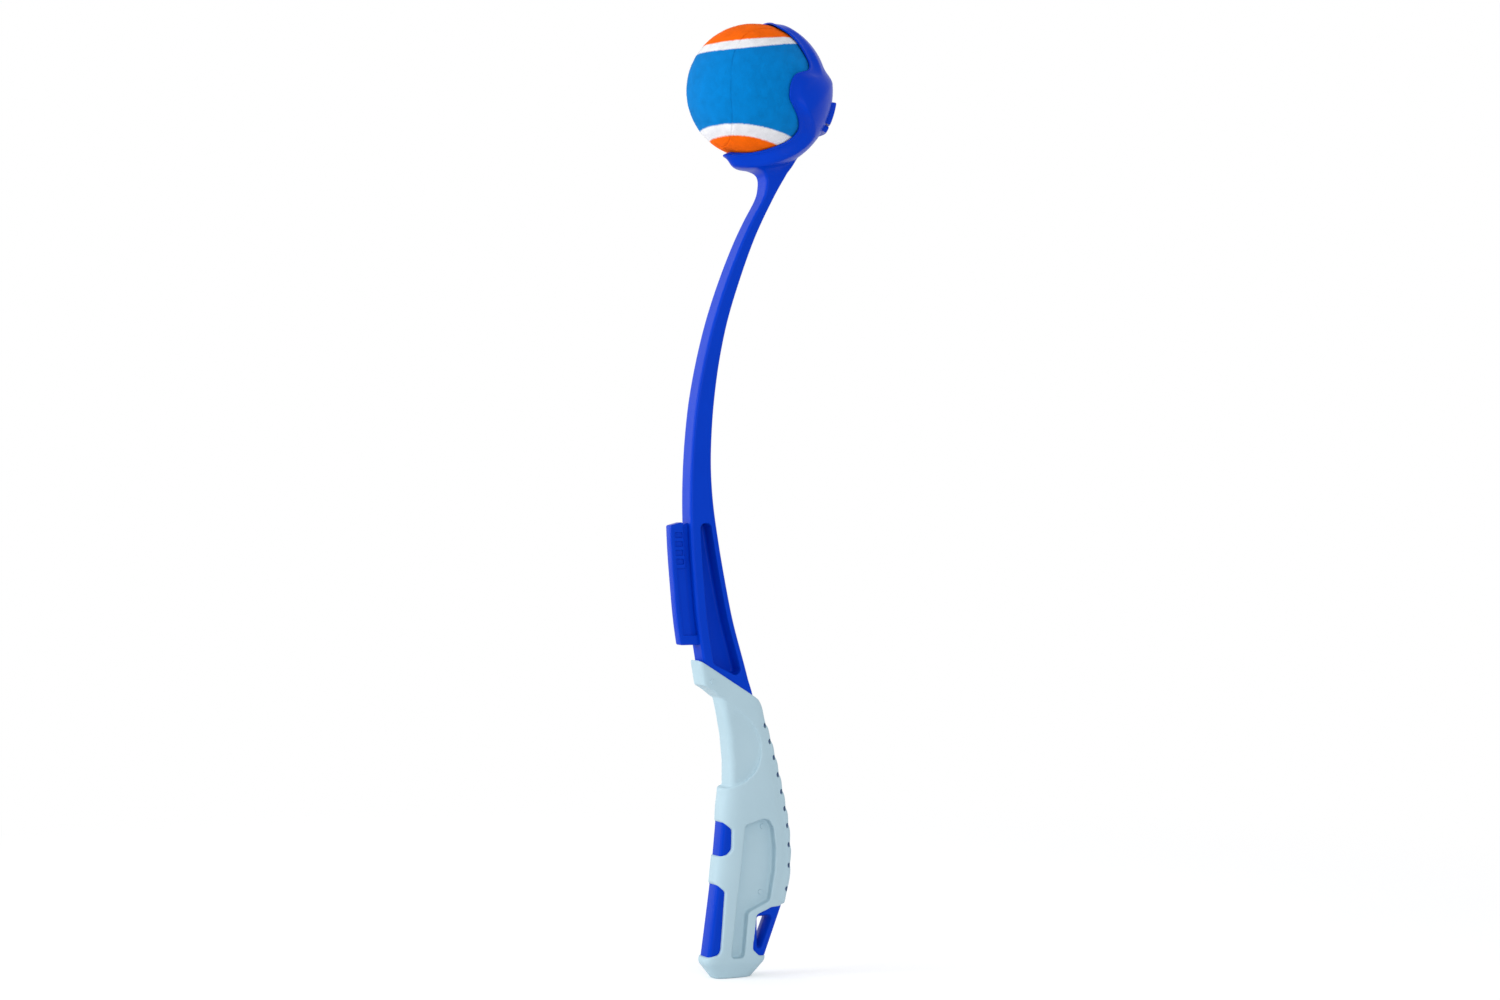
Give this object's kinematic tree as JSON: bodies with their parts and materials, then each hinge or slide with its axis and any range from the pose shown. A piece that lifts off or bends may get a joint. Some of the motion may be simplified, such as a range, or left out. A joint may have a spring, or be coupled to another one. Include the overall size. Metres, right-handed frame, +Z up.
{
  "type": "dog ball thrower",
  "caption": "Curved dog ball thrower with a snap cup holding a felt ball, a side rail on the arm and a soft overmoulded hand grip with a lanyard loop.",
  "frame": {"origin": "middle of the hand grip, on the plane of symmetry", "axes": "+Z up along the handle towards the cup, -X the way the ball is thrown, Y across the thrower"},
  "size_m": [0.0847, 0.0682, 0.4553],
  "materials": {
    "thrower_plastic": "semi-gloss injection moulded polypropylene, deep blue",
    "grip_elastomer": "matt overmoulded thermoplastic rubber, pale blue-grey",
    "ball_rubber": "dark moulded rubber, inside the felt",
    "ball_felt": "needled felt, mid blue with white bands and orange caps",
    "seam_cement": "rubber cement in the seam between the felt panels, off-white"
  },
  "bodies": {
    "thrower": {"ball_cup": "thrower_plastic", "arm_moulding": "thrower_plastic", "grip_sleeve": "grip_elastomer"},
    "ball": {"ball_rubber_upper": "ball_rubber", "ball_rubber_lower": "ball_rubber", "felt_panel_upper": "ball_felt", "felt_panel_lower": "ball_felt", "felt_seam": "seam_cement"}
  },
  "joints": [
    {"name": "ball_release", "type": "slide", "parent": "thrower", "child": "ball", "axis": [-0.9455, 0, 0.3256], "range_m": [0, 0.08]}
  ]
}
